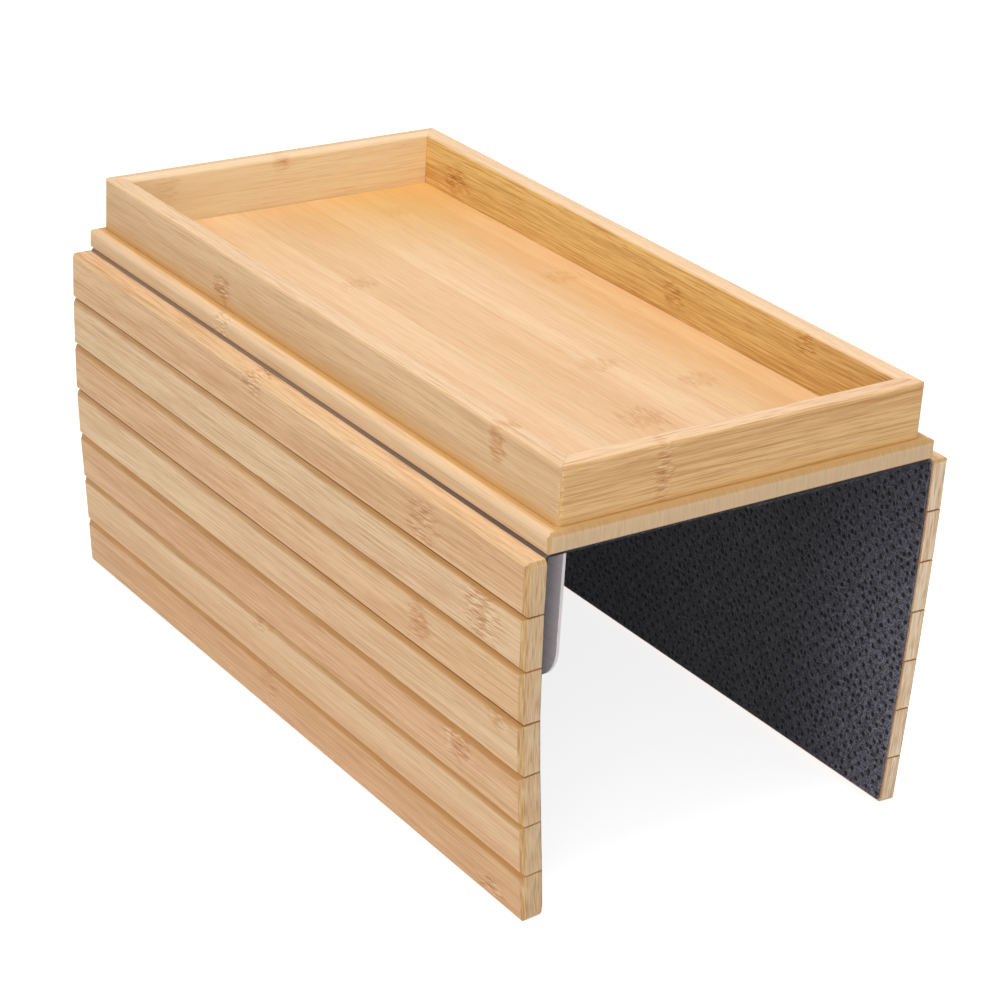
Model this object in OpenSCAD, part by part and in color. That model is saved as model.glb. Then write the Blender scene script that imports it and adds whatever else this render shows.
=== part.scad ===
// Sofa arm tray: a bamboo tray on a felt-backed base whose two slatted flaps drape over the arm.
// X runs across the arm, Y along the arm and Z up.
// The origin is the middle of the felt's underside, which lies on the arm.

/* [Tray frame] */
// Length of the raised frame, along the arm
tray_length = 400; // [320:5:480]
// Width of the raised frame, across the arm
tray_width = 200; // [150:5:260]
// Height of the rails above the base plank
rail_height = 27.5; // [15:0.5:45]
// Thickness of the rails
rail_thickness = 10; // [7:0.5:14]
// Rounding of the rails' top edges
rail_edge_round = 2; // [0.5:0.1:3]
// Rounding of the frame's upright outer corners
frame_corner_round = 2.6; // [0.5:0.1:4]

/* [Base plank] */
// Thickness of the plank that is also the tray's floor
plank_thickness = 10; // [8:0.5:16]
// How far the plank stands out past the frame on each long side
plank_side_step = 7; // [2:0.5:14]
// How far the plank stands out past the frame at each end
plank_end_step = 4; // [1:0.5:10]
// How far the floor stands above the plank's rim, which locates the rails
floor_rise = 0.3; // [0.2:0.1:1]
// Gap between the raised floor and the rails round it
floor_gap = 0.15; // [0.1:0.05:0.3]
// Rounding of the plank's top edges
plank_edge_round = 3.8; // [1:0.1:6]
// Rounding of the plank's bottom edges
plank_low_round = 1.5; // [0.2:0.1:2]
// Rounding of the plank's upright corners
plank_corner_round = 3; // [0.5:0.1:4]

/* [Flap slats] */
// Height of one slat, down the flap
slat_height = 25.2; // [18:0.2:32]
// Thickness of a slat without its felt
slat_thickness = 10; // [8:0.5:12]
// Open joint between two slats
slat_gap = 0.3; // [0.3:0.1:1.2]
// Drop from the plank's underside to the top of the first slat
first_slat_drop = 1.4; // [1.2:0.1:4]
// Bevel of a slat's long outer edges
slat_edge_bevel = 2; // [0.5:0.1:3.5]
// Bevel of a slat's upright outer end edges
slat_end_bevel = 2.2; // [0.5:0.1:4]
// Rounding of the corners where two slats meet at the flap's end
slat_corner_round = 0.6; // [0.3:0.1:1.5]
// Rounding of the flap's upper corners
flap_top_round = 3; // [1:0.5:8]
// Rounding of the flap's lower corners
flap_bottom_round = 5; // [1:0.5:12]
// Rounding of the last slat's two lower long edges
flap_edge_round = 3.5; // [1:0.5:3.5]

/* [Drape] */
// Inward lean of each slat of the left flap, from the top down, in degrees
left_lean = [0.4, 1.8, 2.2, 4.4, 5.4, 5.4, 5];
// Inward lean of each slat of the right flap, from the top down, in degrees
right_lean = [0, 1.1, 1.7, 2.2, 2.7, 3.1, 3.1];

/* [Felt] */
// Thickness of the felt sheet
felt_thickness = 2; // [1.6:0.1:3]
// Distance from the slats' ends in to the edge of the felt
felt_end_inset = 2; // [1:0.5:6]
// Open fold line between two strips of felt
felt_fold = 0.4; // [0.3:0.1:0.8]
// Gap round the bend where the sheet turns down past the plank's edge
felt_bend_gap = 0.3; // [0.3:0.1:0.5]
// Gap between the felt's cut-out and the foot of a clip
felt_cutout_gap = 1; // [0.4:0.1:2]

/* [Clips] */
// Thickness of the clips' sheet steel
clip_sheet = 1.5; // [1:0.1:1.6]
// Width of a clip, along the arm
clip_width = 50; // [40:1:80]
// Length of the foot under the plank
clip_foot = 36; // [28:1:45]
// Drop of the leg below the plank's underside
clip_drop = 70.5; // [40:0.5:90]
// Distance from the plank's long side in to the leg
clip_inset = 15.6; // [13:0.2:25]
// Distance from the plank's end to the clip
clip_end_inset = 10; // [8:1:60]
// Inner radius of the bend
clip_bend = 1.5; // [1:0.1:3]
// Rounding of the leg's lower corners
clip_leg_round = 18; // [5:1:20]
// Rounding of the foot's corners
clip_foot_round = 6; // [2:1:12]

/* [Screws] */
// Diameter of a screw's shank
screw_shank = 3.5; // [3:0.1:4]
// Diameter of a screw's head
screw_head = 6.6; // [6:0.1:8]
// Length of a screw from its head's face to its tip
screw_length = 9; // [7:0.5:10]
// Distance between a clip's two screws
screw_spacing = 28; // [20:1:34]
// Distance from a foot's inner end to its screws
screw_edge = 14; // [8:1:20]
// Clearance round a screw
screw_gap = 0.1; // [0.05:0.05:0.2]
// Width of the cross recess in a screw's head
recess_width = 0.9; // [0.6:0.1:1.2]

/* [Hidden] */
$fn = 48;
slat_count = len(left_lean);
slat_numbers = [1:slat_count];

// Overshoot of a cutting or intersecting solid past the face it meets
over = 1;
plank_length = tray_length + 2 * plank_end_step;
plank_width = tray_width + 2 * plank_side_step;
felt_length = plank_length - 2 * felt_end_inset;
plank_bottom = felt_thickness;
plank_top = plank_bottom + plank_thickness;
slat_pitch = slat_height + slat_gap;
// The inner face of the felt on a plumb flap, and the first fold's height
flap_face_x = plank_width / 2 - felt_thickness;
first_fold_z = plank_bottom - first_slat_drop + slat_gap / 2;
// Where the centre sheet stops short of the bend
centre_felt_x = flap_face_x - felt_bend_gap;
clip_face_x = plank_width / 2 - clip_inset;
clip_y = -plank_length / 2 + clip_end_inset + clip_width / 2;
clip_foot_end = clip_face_x - clip_foot;
screw_x = clip_foot_end + screw_edge;
screw_face_z = plank_bottom - clip_sheet;
head_depth = clip_sheet;
tip_length = 3;
recess_depth = 0.9;
recess_length = 0.6 * screw_head;

bamboo = [0.86, 0.68, 0.46];
bamboo_floor = [0.90, 0.70, 0.47];
bamboo_slat = [0.87, 0.70, 0.48];
felt_grey = [0.14, 0.14, 0.16];
steel_grey = [0.53, 0.52, 0.52];

// How far inward the folds above slat n have carried its top
function lean_x(lean, n) = n <= 1 ? 0 : lean_x(lean, n - 1) + slat_pitch * sin(lean[n - 2]);
// How far down the folds above slat n have carried its top
function lean_z(lean, n) = n <= 1 ? 0 : lean_z(lean, n - 1) + slat_pitch * cos(lean[n - 2]);

// The corner that a fillet of radius r takes off a square corner at the origin
module corner_cut(r) {
    difference() {
        translate([-over, -over]) square(r + over);
        translate([r, r]) circle(r);
    }
}

// A rectangle from the origin with a radius for each corner, anticlockwise from the origin
module filleted_rect(size, radii) {
    difference() {
        square(size);
        corner_cut(radii[0]);
        translate([size.x, 0]) rotate(90) corner_cut(radii[1]);
        translate(size) rotate(180) corner_cut(radii[2]);
        translate([0, size.y]) rotate(270) corner_cut(radii[3]);
    }
}

// The corner that a bevel of the given width takes off a square corner at the origin
module bevel_cut(width) {
    rotate(45) square(sqrt(2) * width, center = true);
}

// A profile drawn across and up, run along Y and centred on it
module along_y(length) {
    rotate([90, 0, 0]) linear_extrude(length, center = true) children();
}

// A profile drawn along Y and up, run along X and centred on it
module along_x(length) {
    rotate([90, 0, 90]) linear_extrude(length, center = true) children();
}

// Children turned half way round the upright axis, to the opposite corner or side
module turned() {
    rotate(180) children();
}

// The board with its rounded rim, before the floor and the holes
module plank_board() {
    low = plank_low_round;
    edge = plank_edge_round;
    corner = plank_corner_round;
    intersection() {
        along_y(plank_length + 2 * over)
            translate([-plank_width / 2, plank_bottom])
                filleted_rect([plank_width, plank_thickness], [low, low, edge, edge]);
        along_x(plank_width + 2 * over)
            translate([-plank_length / 2, plank_bottom])
                filleted_rect([plank_length, plank_thickness], [low, low, edge, edge]);
        translate([-plank_width / 2, -plank_length / 2, plank_bottom - over])
            linear_extrude(plank_thickness + 2 * over)
                filleted_rect([plank_width, plank_length], [corner, corner, corner, corner]);
    }
}

// The floor field inside the rails, from the board's underside up
module floor_field() {
    inset = rail_thickness + floor_gap;
    size = [tray_width - 2 * inset, tray_length - 2 * inset];
    translate([0, 0, plank_bottom]) linear_extrude(plank_thickness + floor_rise)
        square(size, center = true);
}

module base_plank() {
    color(bamboo_floor) difference() {
        union() {
            plank_board();
            floor_field();
        }
        screw_holes();
        turned() screw_holes();
    }
}

// The pilot holes of the left clip's screws in the plank
module screw_holes() {
    depth = screw_length - clip_sheet + screw_gap;
    for (side = [-1, 1])
        translate([-screw_x, clip_y + side * screw_spacing / 2, plank_bottom - over])
            cylinder(h = depth + over, d = screw_shank + 2 * screw_gap);
}

// The four rails share one section, with a mitre at each corner of the frame
module rail_section() {
    round_top = rail_edge_round;
    filleted_rect([rail_thickness, rail_height], [0.3, 0.1, round_top, round_top]);
}

// Keeps what lies inside the frame's rounded outline
module frame_outline() {
    corner = frame_corner_round;
    translate([-tray_width / 2, -tray_length / 2, plank_top - over])
        linear_extrude(rail_height + 2 * over)
            filleted_rect([tray_width, tray_length], [corner, corner, corner, corner]);
}

// The plan of one mitred rail of the given length, on the side of the frame at -reach
module mitre_plan(length, reach) {
    half = length / 2;
    inner = half - rail_thickness;
    translate([0, 0, plank_top - over])
        linear_extrude(rail_height + 2 * over)
            polygon([
                [-half, -reach], [half, -reach],
                [inner, -reach + rail_thickness], [-inner, -reach + rail_thickness]
            ]);
}

// A rail on the frame's near side: turned about the upright axis it makes any other
module mitred_rail(length, reach) {
    color(bamboo) intersection() {
        translate([0, -reach, plank_top]) along_x(length + 2 * over) rail_section();
        mitre_plan(length, reach);
        children();
    }
}

module front_rail() {
    mitred_rail(tray_width, tray_length / 2) frame_outline();
}

module back_rail() {
    turned() front_rail();
}

module left_rail() {
    rotate(-90) mitred_rail(tray_length, tray_width / 2) rotate(90) frame_outline();
}

module right_rail() {
    turned() left_rail();
}

// A slat's section with its outer face at x = 0: the last slat of a flap has a round lower edge
module slat_section(last) {
    top = 0.2;
    low = last ? flap_edge_round : top;
    difference() {
        filleted_rect([slat_thickness, slat_height], [low, low, top, top]);
        translate([0, slat_height]) bevel_cut(slat_edge_bevel);
        if (!last) bevel_cut(slat_edge_bevel);
    }
}

// A slat's plan with its outer face at x = 0
module slat_plan() {
    difference() {
        translate([0, -plank_length / 2]) square([slat_thickness, plank_length]);
        for (side = [-1, 1])
            translate([0, side * plank_length / 2]) bevel_cut(slat_end_bevel);
    }
}

// One slat hanging from its fold, with the felt's inner face at x = 0 and outward along -X
module slat(first, last) {
    top_round = first ? flap_top_round : slat_corner_round;
    bottom_round = last ? flap_bottom_round : slat_corner_round;
    outer_x = -felt_thickness - slat_thickness;
    bottom_z = -slat_gap / 2 - slat_height;
    intersection() {
        translate([outer_x, 0, bottom_z]) along_y(plank_length + 2 * over) slat_section(last);
        translate([outer_x, 0, bottom_z - over]) linear_extrude(slat_height + 2 * over)
            slat_plan();
        translate([outer_x, 0, 0]) along_x(2 * slat_thickness + 2 * over)
            translate([-plank_length / 2, bottom_z])
                filleted_rect(
                    [plank_length, slat_height],
                    [bottom_round, bottom_round, top_round, top_round]
                );
    }
}

// Places children on the left flap's slat n for the given leans
module on_flap(lean, n) {
    translate([-flap_face_x + lean_x(lean, n), 0, first_fold_z - lean_z(lean, n)])
        rotate([0, -lean[n - 1], 0]) children();
}

module flap_slat(lean, n) {
    color(bamboo_slat) on_flap(lean, n) slat(n == 1, n == slat_count);
}

// The strip of felt glued behind slat n: the first reaches up to the bend
// and the last stops where its slat's lower edge starts to round
module flap_felt(lean, n) {
    top = n == 1 ? -felt_bend_gap - first_fold_z : -felt_fold / 2;
    edge_z = flap_edge_round - slat_gap / 2 - slat_height;
    bottom = n == slat_count ? edge_z : felt_fold / 2 - slat_pitch;
    color(felt_grey) on_flap(lean, n)
        translate([-felt_thickness, -felt_length / 2, bottom])
            cube([felt_thickness, felt_length, top - bottom]);
}

module left_slat(n) {
    flap_slat(left_lean, n);
}

module left_felt(n) {
    flap_felt(left_lean, n);
}

module right_slat(n) {
    mirror([1, 0, 0]) flap_slat(right_lean, n);
}

module right_felt(n) {
    mirror([1, 0, 0]) flap_felt(right_lean, n);
}

// The felt under the plank, cut out round the feet of the clips
module centre_felt() {
    color(felt_grey) difference() {
        translate([-centre_felt_x, -felt_length / 2, 0])
            cube([2 * centre_felt_x, felt_length, felt_thickness]);
        foot_cutout();
        turned() foot_cutout();
    }
}

module foot_cutout() {
    gap = felt_cutout_gap;
    size = [clip_foot + 2 * gap, clip_width + 2 * gap];
    corner = clip_foot_round + gap;
    translate([-clip_face_x - gap, clip_y - clip_width / 2 - gap, -over])
        linear_extrude(felt_thickness + 2 * over)
            filleted_rect(size, [gap, corner, corner, gap]);
}

// The clip's section: a foot against the plank, a bend and a leg, with the leg's face at x = 0
module clip_section() {
    outer = clip_bend + clip_sheet;
    translate([outer, -clip_sheet]) square([clip_foot - outer, clip_sheet]);
    translate([0, -clip_drop]) square([clip_sheet, clip_drop - outer]);
    translate([outer, -outer]) intersection() {
        difference() {
            circle(outer);
            circle(clip_bend);
        }
        translate([-outer, 0]) square(outer);
    }
}

module left_clip() {
    foot = clip_foot_round;
    leg = clip_leg_round;
    sharp = 0.1;
    color(steel_grey) difference() {
        intersection() {
            translate([-clip_face_x, clip_y, plank_bottom]) along_y(clip_width) clip_section();
            translate([-clip_face_x, clip_y - clip_width / 2, plank_bottom - clip_drop - over])
                linear_extrude(clip_drop + 2 * over)
                    filleted_rect([clip_foot, clip_width], [sharp, foot, foot, sharp]);
            translate([-clip_face_x, clip_y - clip_width / 2, plank_bottom - clip_drop])
                along_x(2 * clip_foot + 2 * over)
                    filleted_rect([clip_width, clip_drop], [leg, leg, sharp, sharp]);
        }
        for (side = [-1, 1])
            translate([-screw_x, clip_y + side * screw_spacing / 2, screw_face_z])
                countersink(screw_gap);
    }
}

module right_clip() {
    turned() left_clip();
}

// The cone of a screw's head, widened by gap and run past the sheet below
module countersink(gap) {
    shank_r = screw_shank / 2 + gap;
    head_r = screw_head / 2 + gap;
    cylinder(h = head_depth, r1 = head_r, r2 = shank_r);
    translate([0, 0, -over]) cylinder(h = over, r = head_r);
    translate([0, 0, head_depth - gap]) cylinder(h = over, r = shank_r);
}

// A countersunk screw standing on its head's face
module screw() {
    shank_r = screw_shank / 2;
    difference() {
        rotate_extrude() polygon([
            [0, 0], [screw_head / 2, 0], [shank_r, head_depth],
            [shank_r, screw_length - tip_length], [0.4, screw_length], [0, screw_length]
        ]);
        for (turn = [0, 90])
            rotate(turn) translate([-recess_length / 2, -recess_width / 2, -over])
                cube([recess_length, recess_width, recess_depth + over]);
    }
}

module left_clip_screws() {
    color(steel_grey) for (side = [-1, 1])
        translate([-screw_x, clip_y + side * screw_spacing / 2, screw_face_z]) screw();
}

module right_clip_screws() {
    turned() left_clip_screws();
}

base_plank();
front_rail();
back_rail();
left_rail();
right_rail();
centre_felt();
for (n = slat_numbers) {
    left_slat(n);
    left_felt(n);
    right_slat(n);
    right_felt(n);
}
left_clip();
left_clip_screws();
right_clip();
right_clip_screws();
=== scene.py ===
import math
import random

import bmesh
import bpy
from mathutils import Matrix, Vector


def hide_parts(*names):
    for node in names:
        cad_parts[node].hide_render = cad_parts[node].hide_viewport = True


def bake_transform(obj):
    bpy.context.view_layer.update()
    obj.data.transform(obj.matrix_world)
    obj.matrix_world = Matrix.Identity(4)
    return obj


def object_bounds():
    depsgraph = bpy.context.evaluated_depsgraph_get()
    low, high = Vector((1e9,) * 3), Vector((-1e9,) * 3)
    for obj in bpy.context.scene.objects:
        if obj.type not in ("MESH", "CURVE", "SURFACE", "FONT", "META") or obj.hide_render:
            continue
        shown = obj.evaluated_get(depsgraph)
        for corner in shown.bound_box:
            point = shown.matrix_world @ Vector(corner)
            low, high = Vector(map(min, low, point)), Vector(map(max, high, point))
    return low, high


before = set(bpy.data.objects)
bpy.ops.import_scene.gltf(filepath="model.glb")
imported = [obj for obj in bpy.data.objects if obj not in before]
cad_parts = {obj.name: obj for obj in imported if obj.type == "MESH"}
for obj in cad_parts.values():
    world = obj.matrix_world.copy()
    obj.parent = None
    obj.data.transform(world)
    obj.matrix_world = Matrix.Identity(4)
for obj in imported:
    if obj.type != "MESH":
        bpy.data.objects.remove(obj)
cad_low, cad_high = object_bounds()

MM = 0.001

# Sizes shared with the part's source, in metres
TRAY_LENGTH, TRAY_WIDTH = 0.400, 0.200
PLANK_LENGTH, PLANK_WIDTH = 0.408, 0.214
PLANK_TOP = 0.012
FELT_THICK = 0.002
FELT_LENGTH = {"left": 0.403, "right": 0.406}
SLAT_PITCH, SLAT_HEIGHT, SLAT_GAP, SLAT_THICK = 0.0255, 0.0252, 0.0003, 0.010
FLAP_EDGE_ROUND = 0.0035
FIRST_FOLD_Z = 0.00075
FLAP_FACE_X = 0.105
SIDES = {
    "left": (-1, [0.4, 1.8, 2.2, 4.4, 5.4, 5.4, 5.0]),
    "right": (1, [0.0, 1.1, 1.7, 2.2, 2.7, 3.1, 3.1]),
}
SLATS = range(1, 8)


def rgb(red, green, blue):
    """A colour given as it shows on a screen, from 0 to 255, as the renderer's linear values."""
    def linear(level):
        level /= 255
        return level / 12.92 if level <= 0.04045 else ((level + 0.055) / 1.055) ** 2.4
    return (linear(red), linear(green), linear(blue), 1.0)


# Shader maths: a number socket that takes part in Python expressions

class Number:
    def __init__(self, finish, socket):
        self.finish, self.socket = finish, socket

    def maths(self, operation, *others):
        return self.finish.maths(operation, self, *others)

    def __add__(self, other): return self.maths("ADD", other)
    def __radd__(self, other): return self.maths("ADD", other)
    def __sub__(self, other): return self.maths("SUBTRACT", other)
    def __rsub__(self, other): return self.finish.maths("SUBTRACT", other, self)
    def __mul__(self, other): return self.maths("MULTIPLY", other)
    def __rmul__(self, other): return self.maths("MULTIPLY", other)
    def __truediv__(self, other): return self.maths("DIVIDE", other)
    def __abs__(self): return self.maths("ABSOLUTE")
    def max(self, other): return self.maths("MAXIMUM", other)
    def min(self, other): return self.maths("MINIMUM", other)
    def root(self): return self.maths("SQRT")
    def below(self, other): return self.maths("LESS_THAN", other)
    def floor(self): return self.maths("FLOOR")
    def fract(self): return self.maths("FRACT")

    def wrap(self, period, start=0.0):
        """Distance to the nearest of the marks that repeat by this period."""
        return (((self - start) / period + 0.5).fract() - 0.5) * period

    def ramp(self, low, high):
        """0 below low and 1 above high, smooth between them; high may be the lower one."""
        made = self.finish.node(
            "MapRange", {"Value": self, "From Min": low, "From Max": high},
            interpolation_type="SMOOTHSTEP",
        )
        return Number(self.finish, made.outputs["Result"])


class Finish:
    """A procedural material in the making."""

    def __init__(self, name):
        self.material = bpy.data.materials.new(name)
        self.material.use_nodes = True
        self.tree = self.material.node_tree
        self.shader = self.tree.nodes["Principled BSDF"]

    def node(self, kind, inputs, **settings):
        """A node of this kind: its settings go in first, then its sockets' values and links."""
        made = self.tree.nodes.new("ShaderNode" + kind)
        for name, value in settings.items():
            setattr(made, name, value)
        for name, value in inputs.items():
            self.feed(made.inputs[name], value)
        return made

    def feed(self, socket, value):
        if isinstance(value, Number):
            value = value.socket
        if isinstance(value, bpy.types.NodeSocket):
            self.tree.links.new(value, socket)
        else:
            socket.default_value = value

    def maths(self, operation, *values):
        made = self.node("Math", dict(enumerate(values)), operation=operation)
        return Number(self, made.outputs[0])

    def place(self, centre=(0, 0, 0), turn=(0, 0, 0)):
        """The object's own coordinates seen from a centre and a turn, as three numbers."""
        spot = self.node("TexCoord", {}).outputs["Object"]
        seen = self.node(
            "Mapping", {"Vector": spot, "Location": centre, "Rotation": turn},
            vector_type="TEXTURE",
        )
        return self.split(seen.outputs[0])

    def split(self, vector):
        made = self.node("SeparateXYZ", {"Vector": vector})
        return [Number(self, socket) for socket in made.outputs]

    def join(self, x, y, z):
        return self.node("CombineXYZ", {"X": x, "Y": y, "Z": z}).outputs[0]

    def noise(self, x, y, z, detail=2.0, rough=0.5, warp=0.0):
        made = self.node(
            "TexNoise",
            {"Vector": self.join(x, y, z), "Scale": 1.0, "Detail": detail,
             "Roughness": rough, "Distortion": warp},
        )
        return Number(self, made.outputs[0])

    def cells(self, x, y, z, scatter=1.0):
        """Distance to the nearest of a field of points one unit apart."""
        made = self.node(
            "TexVoronoi",
            {"Vector": self.join(x, y, z), "Scale": 1.0, "Randomness": scatter},
        )
        return Number(self, made.outputs["Distance"])

    def mix(self, share, first, second, how="MIX"):
        """The second colour over the first, by a share from 0 to 1."""
        made = self.node(
            "Mix", {0: share, 6: first, 7: second}, data_type="RGBA", blend_type=how
        )
        return made.outputs[2]

    def relief(self, height, depth):
        """A bump of the given height map, its depth in metres."""
        made = self.node("Bump", {"Height": height, "Strength": 1.0, "Distance": depth})
        self.feed(self.shader.inputs["Normal"], made.outputs[0])

    def set(self, **values):
        for name, value in values.items():
            self.feed(self.shader.inputs[name.replace("_", " ")], value)


# Bamboo

FIBRE_SHADE = (0.70, 0.54, 0.38, 1.0)
BLUSH_SHADE = (0.86, 0.69, 0.54, 1.0)
# Painted bounce light: multiplies in the gold that warm light off the rails and the board throws
# on the board's back-right corner and on the right rail's inner face.
BOUNCE_GOLD_SHADE = (1.0, 0.97, 0.70, 1.0)
# Painted shade: multiplies down the outer faces of the back and right rails, turned away from
# the lamps, below the paler tones of their inner faces.
OUTER_SHADE = (0.86, 0.78, 0.66, 1.0)
DASH_PALE = rgb(244, 214, 174)
GLUE_LINE = rgb(190, 142, 96)
ROSE_CAST = rgb(220, 166, 128)
GREEN_CAST = rgb(212, 184, 138)
# Painted light: the peach sheen of the overhead light on upward faces and on the rails' tops.
TOP_LIGHT_PEACH = rgb(244, 208, 170)
# Painted bounce light: the warm gold that the rails throw on the board, on the ledge at their
# foot and on their own feet, and a painted highlight on the ledge's round edge.
GLOW_GOLD = rgb(222, 172, 100)
LEDGE_BOUNCE_GOLD = rgb(208, 160, 92)
LEDGE_HIGHLIGHT = rgb(226, 196, 160)
# Painted shade: the brown of the shadow each slat casts into the groove below it.
GROOVE_SHADOW_BROWN = rgb(206, 152, 84)
SIDE_BEIGE = rgb(216, 184, 144)
END_BEIGE = rgb(210, 181, 144)
END_BROWN = rgb(170, 130, 86)
END_PALE = rgb(228, 200, 160)
# Painted light: the paler tone of the right flap's slat ends, as more front light falls on them.
END_FRONT_LIT = rgb(244, 224, 196)
EDGE_GOLD = rgb(200, 158, 104)

# Pale, body and deep tone of each kind of strip
FLOOR_TONES = rgb(244, 208, 166), rgb(236, 194, 148), rgb(220, 168, 116)
LEFT_TONES = rgb(230, 194, 148), rgb(216, 176, 130), rgb(196, 150, 102)
RIGHT_TONES = rgb(246, 216, 166), rgb(236, 198, 146), rgb(206, 158, 104)
FRONT_TONES = rgb(236, 194, 136), rgb(222, 173, 115), rgb(190, 132, 76)
BACK_TONES = rgb(255, 237, 196), rgb(250, 221, 176), rgb(232, 189, 134)
SLAT_TONES = [
    (rgb(234, 202, 160), rgb(222, 183, 137), rgb(198, 149, 100)),
    (rgb(228, 189, 143), rgb(214, 167, 118), rgb(188, 133, 84)),
    (rgb(232, 194, 148), rgb(218, 174, 126), rgb(194, 142, 92)),
]


def bamboo(
    name, seed, tones, centre, turn=(0, 0, 0), streaks=0.6, lines=0.4, knuckles=(),
    strips=None, glow=None, mitre=None, ends=None, top_lit_share=0.0, pitch=210, groove=False,
    end_tone=END_BEIGE,
):
    """Pressed bamboo. Seen from its centre and turn, the fibres run along Y and Z runs across
    the face. Knuckles are (along, across, reach along, reach across, comb, blush), in metres."""
    pale, body, deep = tones
    f = Finish(name)
    depth, along, across = f.place(centre, turn)
    wander = f.noise(along * 9 + seed, across * 45, depth * 45, detail=1)
    run = across + (wander - 0.5) * 0.0022
    hair = f.noise(along * 36 + seed, run * 1800, depth * 1500, detail=2, rough=0.6)
    grain = f.noise(along * 15 + seed, run * 720, depth * 600 + seed, detail=2, rough=0.6)
    bands = f.noise(along * 5 + seed * 2, run * pitch + seed, depth * 150, detail=2)
    broad = f.noise(along * 3 + seed, run * 60, depth * 40 + seed, detail=1)
    cast = f.noise(along * 6 - seed, run * 95, depth * 90 + seed, detail=1)
    flecks = f.noise(along * 110 + seed, run * 2100, depth * 1500, detail=1)

    faced = f.split(f.node("TexCoord", {}).outputs["Normal"])
    colour = f.mix(broad.ramp(0.35, 0.65), pale, body)
    if strips:
        width, shift = strips
        scaled = across / width + shift
        index = scaled.floor()
        picked = f.node("TexWhiteNoise", {"W": index + seed}, noise_dimensions="1D")
        pick = Number(f, picked.outputs["Value"])
        colour = f.mix(pick.ramp(0.2, 0.8) * 0.8, pale, colour)
        colour = f.mix(pick.ramp(0.55, 1.0) * 0.36, colour, deep)
        edge = abs(scaled.fract() - 0.5).ramp(0.5 - 0.0004 / width, 0.5)
        length_fade = f.noise(along * 14, index + seed, 0, detail=1).ramp(0.4, 0.7)
        colour = f.mix(edge * length_fade * 0.42, colour, GLUE_LINE)
    colour = f.mix(bands.ramp(0.45, 0.72) * streaks, colour, deep)
    # Painted light: upward faces are turned this share of the way to the overhead light's peach
    # sheen.
    if top_lit_share:
        colour = f.mix(faced[2].ramp(0.55, 0.9) * top_lit_share, colour, TOP_LIGHT_PEACH)
    if top_lit_share < 0.5:
        colour = f.mix(cast.ramp(0.52, 0.68) * 0.3, colour, ROSE_CAST)
        colour = f.mix(cast.ramp(0.48, 0.32) * 0.25, colour, GREEN_CAST)
    colour = f.mix(grain.ramp(0.47, 0.68) * lines * 0.5, colour, deep)
    colour = f.mix(grain.ramp(0.49, 0.32) * lines * 0.45, colour, pale)
    colour = f.mix(hair.ramp(0.49, 0.66) * lines, colour, deep)
    colour = f.mix(hair.ramp(0.49, 0.34) * lines, colour, pale)
    colour = f.mix(flecks.ramp(0.62, 0.76) * lines * 0.6, colour, FIBRE_SHADE, "MULTIPLY")

    height = hair * 0.5 + grain * 0.5
    if knuckles:
        ripple = f.noise(along * 90, across * 420, depth * 200 + seed, detail=2)
        comb_area, blush_area = None, None
        for at_along, at_across, reach_along, reach_across, comb, blush in knuckles:
            a = (along - at_along + (ripple - 0.5) * reach_along * 2.2) / reach_along
            b = (across - at_across + (wander - 0.5) * 0.004) / reach_across
            here = (a * a + b * b).ramp(1.2, 0.2)
            combed, blushed = here * comb, here * blush
            comb_area = combed if comb_area is None else comb_area.max(combed)
            blush_area = blushed if blush_area is None else blush_area.max(blushed)
        slant = across + along * 0.05
        dash = f.noise(along * 190 + seed, slant * 1800, depth * 1500, detail=1, rough=0.4)
        cloud = f.noise(along * 120 + seed, across * 190, depth * 150, detail=2)
        share = blush_area * cloud.ramp(0.3, 0.6)
        colour = f.mix(share, colour, BLUSH_SHADE, "MULTIPLY")
        colour = f.mix(comb_area * dash.ramp(0.51, 0.66), colour, FIBRE_SHADE, "MULTIPLY")
        colour = f.mix(comb_area * dash.ramp(0.47, 0.33) * 0.8, colour, DASH_PALE)
        height = height + dash * comb_area * 0.7
    if mitre:
        half, sign = mitre
        joint = abs(abs(along) + depth * sign - half).ramp(0.0003, 0.00008)
        colour = f.mix(joint * 0.5, colour, GLUE_LINE)
    if glow:
        colour = glow(f, colour)
    # Painted shade: the shadow each slat casts on the top bevel and the gap wall of the slat
    # below, deeper towards the front end.
    if groove:
        front = along.ramp(0.02, -0.14)
        under = across.ramp(0.0096, 0.0124)
        colour = f.mix(under * (0.4 + front * 0.45), colour, GROOVE_SHADOW_BROWN)
    if ends:
        end = abs(faced[1])
        rows, columns = (depth, across) if ends == "depth" else (across, depth)
        pores = f.noise(rows * 2300 + seed, columns * 110, along * 60, detail=1)
        shade = f.noise(rows * 700 + seed, columns * 30, along * 40, detail=1)
        contrast = 1.0 if ends == "depth" else 0.3
        bevel = f.mix(pores.ramp(0.50, 0.66) * (0.8 * contrast), EDGE_GOLD, END_BROWN)
        bevel = f.mix(pores.ramp(0.48, 0.34) * (0.5 * contrast), bevel, END_PALE)
        cut = f.mix(shade.ramp(0.35, 0.65) * (0.2 + 0.5 * contrast), end_tone, body)
        cut = f.mix(pores.ramp(0.52, 0.68) * (0.6 * contrast), cut, END_BROWN)
        cut = f.mix(pores.ramp(0.48, 0.32) * (0.6 * contrast), cut, END_PALE)
        colour = f.mix(end.ramp(0.35, 0.6), colour, bevel)
        colour = f.mix(end.ramp(0.8, 0.96), colour, cut)

    f.set(Base_Color=colour, Roughness=0.46 + hair * 0.16, Specular_IOR_Level=0.35)
    f.relief(height, 0.00010)
    return f.material


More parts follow.
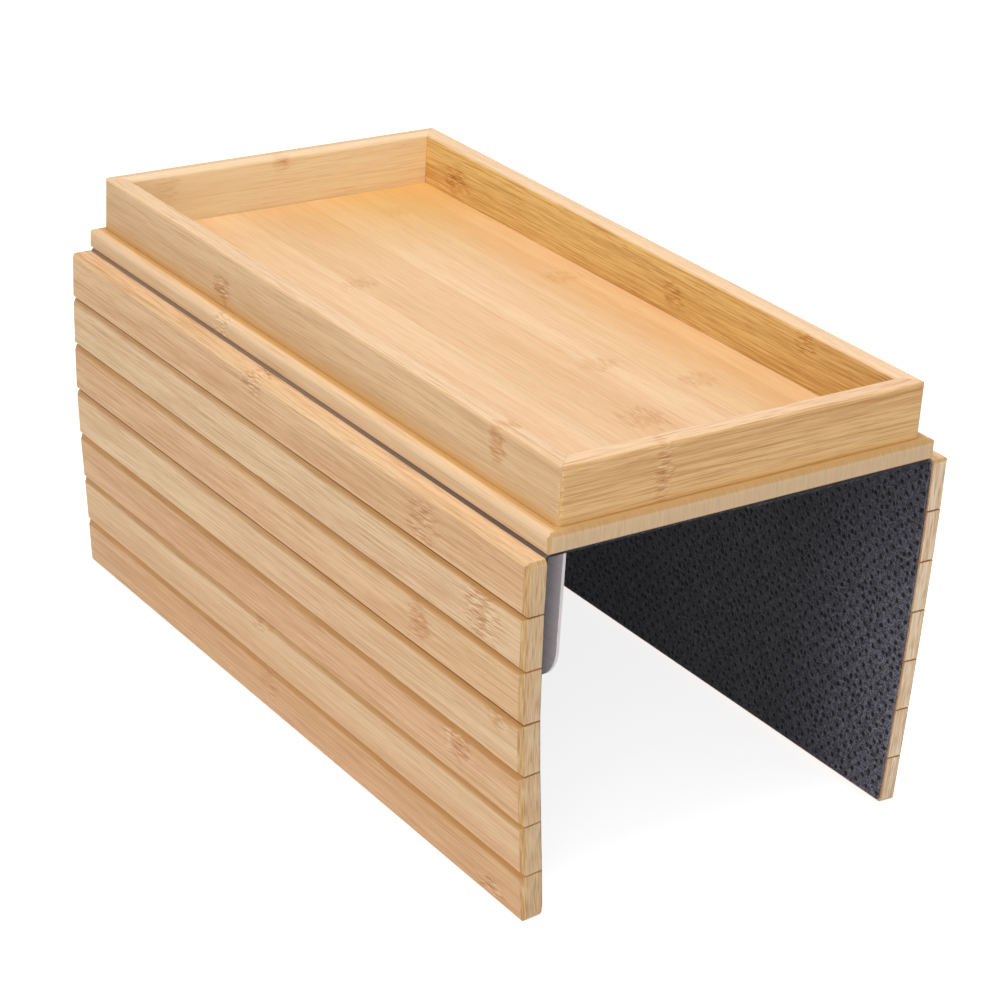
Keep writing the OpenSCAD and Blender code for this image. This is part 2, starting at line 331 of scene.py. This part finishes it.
def floor_glow(f, colour):
    """The warm light that the rails throw on the board: on the ledge at their foot, on the
    floor along the back and the right, and a duller board below the ledge's round edge."""
    x, y, z = f.place()
    drift = f.noise(x * 18, y * 9, 0, detail=1)
    out = abs(x).max(abs(y) - 0.1)
    ledge = out.ramp(0.0985, 0.1) * out.ramp(0.1040, 0.1022)
    brow = out.ramp(0.1022, 0.1040)
    side = z.ramp(0.0098, 0.0075)
    near = (x + 0.01).ramp(0.03, 0.1) * 0.35
    back = (y - 0.07).ramp(0.0, 0.12) * (0.3 + x.ramp(-0.03, 0.07) * 0.45)
    left = (x + 0.09).ramp(0.022, 0.0) * 0.3
    warm = (near.max(back).max(left) + (drift - 0.5) * 0.25).max(0.0)
    colour = f.mix(warm, colour, GLOW_GOLD)
    # Painted bounce light: the board's back-right corner multiplied gold.
    corner = (y - 0.07).ramp(0.0, 0.1) * x.ramp(-0.03, 0.07)
    colour = f.mix(corner * 0.5, colour, BOUNCE_GOLD_SHADE, "MULTIPLY")
    colour = f.mix(ledge * 0.85, colour, LEDGE_BOUNCE_GOLD)
    # Painted highlight on the ledge's round edge.
    colour = f.mix(brow * 0.6, colour, LEDGE_HIGHLIGHT)
    colour = f.mix(side * 0.45, colour, SIDE_BEIGE)
    fibre = f.noise(y * 22, x * 900, z * 900, detail=2, rough=0.6)
    colour = f.mix(brow * fibre.ramp(0.52, 0.72) * 0.4, colour, FIBRE_SHADE, "MULTIPLY")
    colour = f.mix(brow * fibre.ramp(0.48, 0.30) * 0.35, colour, DASH_PALE)
    along, over = (y - 0.067) / 0.009, (x + 0.1055) / 0.004
    mark = (along * along + over * over).ramp(1.2, 0.2)
    dash = f.noise(y * 260, x * 1500 - y * 180, z * 1500, detail=1, rough=0.4)
    colour = f.mix(mark * dash.ramp(0.52, 0.66) * 0.6, colour, FIBRE_SHADE, "MULTIPLY")
    return f.mix(mark * dash.ramp(0.48, 0.34) * 0.8, colour, DASH_PALE)


def inner_glow(f, colour):
    """Painted bounce light: the right rail's inner face multiplied warmer gold for the light off
    the board, its outer face multiplied deeper as painted shade, and its top painted peach for
    the overhead light.
    """
    x, y, z = f.place()
    top_lit_share = z.ramp(0.0375, 0.0390)
    colour = f.mix(x.ramp(0.0925, 0.0903) * (1 - top_lit_share), colour, BOUNCE_GOLD_SHADE, "MULTIPLY")
    colour = f.mix(x.ramp(0.0925, 0.095) * 0.6, colour, OUTER_SHADE, "MULTIPLY")
    return f.mix(top_lit_share * 0.65, colour, TOP_LIGHT_PEACH)


def outer_shade(f, colour):
    """The back rail's paler left end; its outer face multiplied deeper than its inner face, a
    painted shade on the side turned away from the lamps; and its top painted peach for the
    overhead light.
    """
    x, y, z = f.place()
    top_lit_share = z.ramp(0.0375, 0.0390)
    colour = f.mix(x.ramp(0.03, -0.05) * (1 - top_lit_share) * 0.45, colour, BACK_TONES[0])
    colour = f.mix(top_lit_share * 0.5, colour, TOP_LIGHT_PEACH)
    return f.mix(y.ramp(0.1935, 0.1965), colour, OUTER_SHADE, "MULTIPLY")


def foot_glow(low, high, share):
    """The same warm light on the foot of a rail, from one height down to another."""
    def apply(f, colour):
        x, y, z = f.place()
        return f.mix(z.ramp(high, low) * share, colour, GLOW_GOLD)
    return apply


def dress(node, material):
    """Puts a material in every slot of a node."""
    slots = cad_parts[node].material_slots
    for slot in slots:
        slot.material = material


def slat_frame(side, n):
    """The fold above slat n, and the flap's downward and outward directions there."""
    sign, leans = SIDES[side]
    x, z = -FLAP_FACE_X, FIRST_FOLD_Z
    for lean in leans[:n - 1]:
        x += SLAT_PITCH * math.sin(math.radians(lean))
        z -= SLAT_PITCH * math.cos(math.radians(lean))
    lean = math.radians(leans[n - 1])
    fold = Vector((-x * sign, 0, z))
    down = Vector((-math.sin(lean) * sign, 0, -math.cos(lean)))
    out = Vector((math.cos(lean) * sign, 0, -math.sin(lean)))
    return fold, down, out


QUARTER = math.pi / 2
FLOOR_KNUCKLES = [
    (0.156, 0.051, 0.008, 0.012, 0.5, 0.4), (0.074, -0.025, 0.008, 0.011, 0.5, 0.4),
    (0.038, 0.073, 0.009, 0.012, 0.5, 0.5), (-0.064, 0.021, 0.009, 0.012, 0.5, 0.5),
    (-0.101, 0.052, 0.010, 0.012, 0.4, 0.5), (-0.125, 0.0, 0.013, 0.013, 0.6, 0.7),
]
dress("base_plank", bamboo(
    "bamboo_plank", 3.0, FLOOR_TONES, (0, 0, 0.007), (0, QUARTER, 0), streaks=0.25,
    lines=0.45, strips=(0.021, 0.36), knuckles=FLOOR_KNUCKLES, glow=floor_glow,
    ends="across",
))
RAIL_Z = PLANK_TOP + 0.01375
dress("left_rail", bamboo(
    "bamboo_left_rail", 11.0, LEFT_TONES, (-0.095, 0, RAIL_Z), streaks=0.4, lines=0.5,
    mitre=(0.195, 1), top_lit_share=0.7, glow=foot_glow(0.013, 0.019, 0.5),
    knuckles=[(-0.154, 0.006, 0.006, 0.011, 0.4, 1.0), (0.079, -0.007, 0.009, 0.012, 0.8, 1.0)],
))
dress("right_rail", bamboo(
    "bamboo_right_rail", 17.0, RIGHT_TONES, (0.095, 0, RAIL_Z), streaks=0.5, lines=0.9,
    mitre=(0.195, -1), top_lit_share=0.7, glow=inner_glow,
    knuckles=[(0.160, -0.004, 0.012, 0.010, 0.9, 1.0), (-0.030, -0.003, 0.008, 0.008, 0.8, 0.8),
              (-0.129, 0.008, 0.008, 0.007, 0.8, 0.8)],
))
dress("front_rail", bamboo(
    "bamboo_front_rail", 23.0, FRONT_TONES, (0, -0.195, RAIL_Z), (0, 0, QUARTER),
    streaks=0.5, lines=0.6, mitre=(0.095, 1), top_lit_share=0.95, glow=foot_glow(0.013, 0.018, 0.35),
    knuckles=[(0.046, 0.0, 0.005, 0.020, 0.9, 0.5)], pitch=400,
))
dress("back_rail", bamboo(
    "bamboo_back_rail", 29.0, BACK_TONES, (0, 0.195, RAIL_Z), (0, 0, QUARTER), streaks=0.3,
    lines=0.5, mitre=(0.095, -1), top_lit_share=0.6, glow=outer_shade,
    knuckles=[(0.0015, 0.01, 0.006, 0.006, 0.7, 0.6), (0.069, 0.004, 0.008, 0.009, 0.7, 0.6)],
))

LEFT_SLAT_TONES = [2, 0, 2, 0, 1, 0, 1]
LEFT_KNUCKLES = {
    1: [(0.021, 0.0099, 0.011, 0.007, 0.9, 0.3), (-0.126, -0.002, 0.012, 0.013, 0.7, 0.5)],
    2: [(-0.1724, 0.0043, 0.016, 0.018, 1.0, 0.4)],
    3: [(-0.1244, 0.0014, 0.010, 0.012, 0.5, 0.9)],
    4: [(-0.1882, 0.0100, 0.010, 0.008, 0.9, 0.5)],
    5: [(-0.1554, 0.0056, 0.013, 0.011, 0.9, 0.5)],
    6: [(0.0178, 0.0119, 0.010, 0.007, 0.8, 0.5)],
    7: [(0.012, 0.0061, 0.009, 0.012, 0.5, 0.5), (-0.179, -0.0068, 0.011, 0.007, 0.9, 0.5)],
}
picker = random.Random(5)
for side, (sign, leans) in SIDES.items():
    for n in SLATS:
        fold, down, out = slat_frame(side, n)
        middle = fold + down * (SLAT_PITCH / 2) + out * (FELT_THICK + SLAT_THICK / 2)
        if side == "left":
            marks, tones = LEFT_KNUCKLES[n], SLAT_TONES[LEFT_SLAT_TONES[n - 1]]
        else:
            marks = [(picker.uniform(-0.18, 0.18), picker.uniform(-0.006, 0.006),
                      0.006, 0.010, picker.uniform(0.5, 1.0), picker.uniform(0.3, 0.8))]
            tones = picker.choice(SLAT_TONES)
        turn = (0, math.radians(leans[n - 1]) * sign, 0)
        dress(f"{side}_slat_{n}", bamboo(
            f"bamboo_{side}_slat_{n}", 31.0 + 7 * n + 3 * sign, tones, tuple(middle), turn,
            streaks=picker.uniform(0.3, 0.5), lines=picker.uniform(0.45, 0.7),
            knuckles=marks, ends="depth", groove=n > 1, top_lit_share=0.45 if n == 1 else 0.0,
            # Painted light: the right flap's slat ends are paler, for the front light on them.
            end_tone=END_BEIGE if side == "left" else END_FRONT_LIT,
        ))


# Felt

def nearest_dot(f, x, y, wide, high):
    """Distance to the nearest of dots set out in rows, every second row half a step on."""
    found = None
    for shift in (0.0, 0.5):
        dx, dy = x.wrap(wide, shift * wide), y.wrap(high, shift * high)
        away = (dx * dx + dy * dy).root()
        found = away if found is None else found.min(away)
    return found


def rosette_dots(f, x, y, wide, high):
    """Distance to the nearest dot of the nearest rosette, a dot in a ring of eight, and
    distance to that rosette's middle."""
    ring = 4.9
    found, middle = None, None
    for shift in (0.0, 0.5):
        dx, dy = x.wrap(wide, shift * wide), y.wrap(high, shift * high)
        away = (dx * dx + dy * dy).root()
        sector = dy.maths("ARCTAN2", dx).wrap(math.pi / 4) * ring
        off = away - ring
        near = (sector * sector + off * off).root().min(away)
        found = near if found is None else found.min(near)
        middle = away if middle is None else middle.min(away)
    return found, middle


def felt_finish():
    """Needled charcoal felt with pressed dots and rosettes, laid out in millimetres by each
    piece's own place on the flat sheet."""
    f = Finish("felt_charcoal")
    spot = f.node("Attribute", {}, attribute_name="sheet_place").outputs["Vector"]
    x, y, depth = f.split(spot)
    sway = f.noise(x * 130, y * 130, 0, detail=1)
    drift = f.noise(x * 130, y * 130, 7, detail=1)
    dot_x = x * 1000 - 0.2 + (sway - 0.5) * 1.6
    dot_y = y * 1000 - 34.6 + (drift - 0.5) * 1.6
    rows = nearest_dot(f, dot_x, dot_y, 7.367, 8.167)
    rosette, middle = rosette_dots(f, dot_x, dot_y, 44.2, 49.0)
    dots = rows + (rosette - rows) * middle.below(6.6)
    press = f.noise(x * 500, y * 500, 3, detail=2)
    hole = (dots + (press - 0.5) * 0.9).ramp(1.5, 0.8) * (depth * 1000).ramp(0.6, 0.3)
    fluff = f.noise(x * 460, y * 460, depth * 900, detail=4, rough=0.7)
    hair = f.noise(x * 1000, y * 260, depth * 900, detail=3, rough=0.7, warp=2.2)
    hair_across = f.noise(x * 260, y * 1000, depth * 900 + 7, detail=3, rough=0.7, warp=2.2)
    cloud = f.noise(x * 22, y * 22, 0, detail=3)
    # Painted light: the felt and its hairs are paler towards both ends of the tray, for the
    # front light that reaches in at the front end, and the same at the back.
    ends = abs(x).ramp(0.12, 0.2)
    colour = f.mix(cloud.ramp(0.35, 0.65), rgb(48, 48, 50), rgb(56, 55, 61))
    colour = f.mix(ends * 0.6, colour, rgb(84, 82, 93))
    colour = f.mix(fluff.ramp(0.42, 0.58) * 0.9, colour, rgb(20, 19, 21))
    pale = f.mix(ends, rgb(110, 109, 118), rgb(164, 162, 178))
    colour = f.mix(hair.max(hair_across).ramp(0.50, 0.62) * 0.8, colour, pale)
    # Painted shade: the felt is darker high on the flaps and under the plank, where the plank's
    # shade falls, fading out down the flap.
    colour = f.mix(y.ramp(0.21, 0.12) * 0.42, colour, rgb(20, 19, 21))
    colour = f.mix(hole * 0.92, colour, rgb(8, 8, 10))
    faced = f.split(f.node("TexCoord", {}).outputs["Normal"])
    cut_end = abs(faced[1]).ramp(0.6, 0.9) * y.ramp(0.105, 0.103)
    colour = f.mix(cut_end * 0.75, colour, rgb(30, 29, 33))
    # The felt's outer face where it turns round the plank's edge is painted light brown, darker
    # towards the front end.
    turned_tone = f.mix(x.ramp(-0.19, 0.0), rgb(138, 121, 114), rgb(184, 160, 140))
    turned = abs(y - 0.1065).ramp(0.0030, 0.0016) * depth.ramp(0.0008, 0.0014)
    colour = f.mix(turned * 0.85, colour, turned_tone)
    # Painted shade: the felt at the foot of each gap between slats is painted the brown of the
    # shaded groove.
    folds = abs((y - 0.12936).wrap(SLAT_PITCH)).below(0.001) * y.ramp(0.11, 0.112)
    colour = f.mix(folds * depth.ramp(0.001, 0.0015), colour, rgb(150, 100, 56))
    f.set(Base_Color=colour, Roughness=0.95, Specular_IOR_Level=0.1)
    f.shader.inputs["Sheen Weight"].default_value = 0.2
    f.shader.inputs["Sheen Roughness"].default_value = 0.5
    f.relief(fluff * 0.4 + hair * 0.3 - hole * 0.8, 0.0006)
    return f.material


FELT = felt_finish()


def only(piece):
    """Leaves this piece as the only one selected, and active."""
    bpy.ops.object.select_all(action="DESELECT")
    piece.select_set(True)
    bpy.context.view_layer.objects.active = piece


def apply_modifier(piece, kind, **settings):
    """Finishes the piece with a modifier of this kind."""
    only(piece)
    made = piece.modifiers.new(kind.lower(), kind)
    for name, value in settings.items():
        setattr(made, name, value)
    bpy.ops.object.modifier_apply(modifier=made.name)


def strip_along(name, path, length, outward):
    """An open strip of this length along Y, its faces turned outward: one edge, extruded
    from point to point."""
    bpy.ops.object.select_all(action="DESELECT")
    bpy.ops.mesh.primitive_plane_add(size=1.0, location=(0, 0, 0))
    piece = bpy.context.object
    piece.name = piece.data.name = name
    bpy.ops.object.mode_set(mode="EDIT")
    mesh = bmesh.from_edit_mesh(piece.data)
    for vertex in mesh.verts:
        vertex.select = vertex.co.x > 0
    bmesh.update_edit_mesh(piece.data)
    bpy.ops.mesh.select_mode(type="VERT")
    mesh = bmesh.from_edit_mesh(piece.data)
    for vertex in mesh.verts:
        vertex.select = vertex.co.x > 0
    mesh.select_flush(True)
    bpy.ops.mesh.delete(type="VERT")
    mesh = bmesh.from_edit_mesh(piece.data)
    for vertex in mesh.verts:
        vertex.co = (path[0][0], math.copysign(length / 2, vertex.co.y), path[0][1])
        vertex.select = True
    mesh.select_flush(True)
    bmesh.update_edit_mesh(piece.data)
    for start, end in zip(path, path[1:]):
        move = (end[0] - start[0], 0, end[1] - start[1])
        bpy.ops.mesh.extrude_region_move(TRANSFORM_OT_translate={"value": move})
    mesh = bmesh.from_edit_mesh(piece.data)
    mesh.normal_update()
    lowest = min(mesh.faces, key=lambda face: face.calc_center_median().z)
    bpy.ops.mesh.select_all(action="SELECT")
    if lowest.normal.dot(outward) < 0:
        bpy.ops.mesh.flip_normals()
    bpy.ops.object.mode_set(mode="OBJECT")
    return piece


BEND = 0.0009


def felt_path(side, k):
    """The inner face of felt piece k, from its upper end down, as (x, z) points, and how far
    along the sheet from its middle it starts."""
    sign = SIDES[side][0]
    def point(n, down_by):
        fold, down, out = slat_frame(side, n)
        spot = fold + down * down_by
        return (spot.x, spot.z)
    if k == 1:
        across = [(sign * x, 0.0) for x in (0.0, 0.035, 0.07, 0.095, 0.1005, 0.1025)]
        turn = [
            (sign * (FLAP_FACE_X - BEND + BEND * math.sin(a)), -BEND + BEND * math.cos(a))
            for a in (math.radians(d) for d in range(0, 91, 15))
        ]
        rest = [point(1, d) for d in (0.0024, 0.004, 0.007, SLAT_PITCH / 2)]
        return across + turn + rest, 0.0
    start = 0.11661 + (k - 2) * SLAT_PITCH
    above = [point(k - 1, SLAT_PITCH * share) for share in (0.5, 0.7, 0.86, 0.94, 0.98)]
    last = SLAT_GAP / 2 + SLAT_HEIGHT - FLAP_EDGE_ROUND
    low = last if k == 7 else SLAT_PITCH / 2
    below = [point(k, d) for d in (0.0, 0.0005, 0.0015, 0.0035, 0.007, low)]
    return above + below, start


def sheet_places(piece, path, start):
    """Stores where each point of the piece lies on the flat sheet."""
    spots = piece.data.attributes.new("sheet_place", "FLOAT_VECTOR", "POINT")
    legs = [(Vector(a), Vector(b)) for a, b in zip(path, path[1:])]
    for vertex, item in zip(piece.data.vertices, spots.data):
        here = Vector((vertex.co.x, vertex.co.z))
        best, travelled = None, start
        for a, b in legs:
            leg = b - a
            share = max(0.0, min(1.0, (here - a).dot(leg) / leg.length_squared))
            away = (here - a - leg * share).length
            if best is None or away < best[0]:
                best = (away, travelled + share * leg.length)
            travelled += leg.length
        item.vector = (vertex.co.y, best[1], best[0])


def cutter(low, high, round_by):
    """A block with rounded upright edges, for the cut-out round a clip's foot."""
    middle = (Vector(low) + Vector(high)) / 2
    bpy.ops.object.select_all(action="DESELECT")
    bpy.ops.mesh.primitive_cube_add(size=1.0, location=middle)
    block = bpy.context.object
    block.scale = Vector(high) - Vector(low)
    bpy.ops.object.transform_apply(location=True, rotation=False, scale=True)
    bpy.ops.object.mode_set(mode="EDIT")
    mesh = bmesh.from_edit_mesh(block.data)
    for edge in mesh.edges:
        edge.select = abs(edge.verts[0].co.z - edge.verts[1].co.z) > 0.001
    bmesh.update_edit_mesh(block.data)
    bpy.ops.mesh.bevel(offset=round_by, segments=6)
    bpy.ops.object.mode_set(mode="OBJECT")
    return block


FOOT_CUT = {"left": ((-0.0924, -0.195), (-0.0544, -0.143)),
            "right": ((0.0544, 0.143), (0.0924, 0.195))}

for side, (sign, leans) in SIDES.items():
    for k in SLATS:
        path, start = felt_path(side, k)
        piece = strip_along(
            f"{side}_felt_piece_{k}", path, FELT_LENGTH[side], slat_frame(side, k)[2]
        )
        apply_modifier(piece, "SOLIDIFY", thickness=FELT_THICK * 0.98, offset=1.0,
                       use_even_offset=True)
        if k == 1:
            (x0, y0), (x1, y1) = FOOT_CUT[side]
            block = cutter((x0, y0, -0.01), (x1, y1, 0.01), 0.006)
            apply_modifier(piece, "BOOLEAN", operation="DIFFERENCE", object=block,
                           solver="EXACT")
            bpy.data.objects.remove(block)
        sheet_places(piece, path, start)
        piece.data.materials.clear()
        piece.data.materials.append(FELT)
        only(piece)
        bpy.ops.object.shade_smooth_by_angle(angle=math.radians(40))
        fold, down, out = slat_frame(side, k)
        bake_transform(piece)
        covers = [f"{side}_felt_{k}"] + (["centre_felt"] if k == 1 else [])
        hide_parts(*covers)


# Steel

def steel(name, tone, deep, rough, metallic):
    """Satin sheet steel with a fine rolled grain."""
    f = Finish(name)
    x, y, z = f.place()
    grain = f.noise(x * 300, y * 60, z * 2600, detail=3, rough=0.6)
    smudge = f.noise(x * 30, y * 30, z * 30, detail=2)
    edge = abs(f.split(f.node("TexCoord", {}).outputs["Normal"])[1]).ramp(0.6, 0.95)
    colour = f.mix((grain.ramp(0.35, 0.7) * 0.3).max(edge * 0.35), tone, deep)
    f.set(Base_Color=colour, Roughness=rough + smudge * 0.14 + grain * 0.06)
    f.shader.inputs["Metallic"].default_value = metallic
    f.relief(grain, 0.00003)
    return f.material


# Painted light: the clip's near-white tone, paler than its grey steel, stands for light that its
# shaded place between the flaps doesn't get.
CLIP_STEEL = steel("steel_satin", rgb(250, 240, 242), rgb(190, 182, 185), 0.5, 0.0)
SCREW_STEEL = steel("steel_zinc", rgb(196, 196, 200), rgb(150, 150, 154), 0.22, 1.0)
for side in SIDES:
    dress(f"{side}_clip", CLIP_STEEL)
    dress(f"{side}_clip_screws", SCREW_STEEL)


# Stage, light and camera

def stage_floor(height):
    bpy.ops.object.select_all(action="DESELECT")
    bpy.ops.mesh.primitive_plane_add(size=12.0, location=(0, 0, height))
    floor = bpy.context.object
    floor.name = "floor"
    f = Finish("floor_paper")
    tree, shader = f.tree, f.shader
    f.set(Base_Color=rgb(236, 236, 236), Roughness=0.9, Specular_IOR_Level=0.0)
    path = f.node("LightPath", {}).outputs
    seen = Number(f, path["Is Camera Ray"]).max(Number(f, path["Is Glossy Ray"]))
    glow = f.node("Emission", {"Color": (1, 1, 1, 1), "Strength": seen * 0.8})
    both = f.node("AddShader", {0: shader.outputs[0], 1: glow.outputs[0]})
    f.feed(tree.nodes["Material Output"].inputs["Surface"], both.outputs[0])
    floor.data.materials.append(f.material)


stage_floor(cad_low.z - 0.0003)


def softbox(name, place, aim, size, power):
    light = bpy.data.lights.new(name, "AREA")
    light.shape, light.size, light.energy = "SQUARE", size, power
    holder = bpy.data.objects.new(name, light)
    bpy.context.scene.collection.objects.link(holder)
    holder.location = place
    holder.rotation_euler = (Vector(aim) - Vector(place)).to_track_quat("-Z", "Y").to_euler()


softbox("top_light", (-0.2, -0.1, 1.8), (0, 0, 0), 0.9, 22)
softbox("left_light", (-2.0, -0.4, -0.05), (0, 0, -0.05), 1.0, 4.8)
softbox("front_light", (-1.5, -1.9, 0.05), (0, 0, -0.05), 1.2, 18.4)

world = bpy.data.worlds.new("studio")
bpy.context.scene.world = world
world.use_nodes = True
tree = world.node_tree
background = tree.nodes["Background"]
background.inputs["Color"].default_value = (1, 1, 1, 1)
background.inputs["Strength"].default_value = 0.41
seen = tree.nodes.new("ShaderNodeLightPath")
white = tree.nodes.new("ShaderNodeBackground")
white.inputs["Color"].default_value = (1, 1, 1, 1)
white.inputs["Strength"].default_value = 1.0
mixed = tree.nodes.new("ShaderNodeMixShader")
either = tree.nodes.new("ShaderNodeMath")
either.operation = "MAXIMUM"
tree.links.new(seen.outputs["Is Camera Ray"], either.inputs[0])
tree.links.new(seen.outputs["Is Glossy Ray"], either.inputs[1])
tree.links.new(either.outputs[0], mixed.inputs[0])
tree.links.new(background.outputs[0], mixed.inputs[1])
tree.links.new(white.outputs[0], mixed.inputs[2])
tree.links.new(mixed.outputs[0], tree.nodes["World Output"].inputs["Surface"])

yaw, pitch, roll = (math.radians(a) for a in (36.0614, 24.9011, 3.6169))
ahead = Vector((math.sin(yaw) * math.cos(pitch), math.cos(yaw) * math.cos(pitch),
                -math.sin(pitch)))
level = Vector((math.cos(yaw), -math.sin(yaw), 0))
above = level.cross(ahead)
across = level * math.cos(roll) + above * math.sin(roll)
upright = above * math.cos(roll) - level * math.sin(roll)
camera = bpy.data.objects.new("camera", bpy.data.cameras.new("camera"))
camera.data.lens, camera.data.sensor_width = 105.1, 36.0
camera.matrix_world = Matrix.Translation((-0.75894, -1.06351, 0.52697)) @ Matrix(
    (across, upright, -ahead)).transposed().to_4x4()
bpy.context.scene.collection.objects.link(camera)
bpy.context.scene.camera = camera

bpy.context.scene.view_settings.view_transform = "Standard"
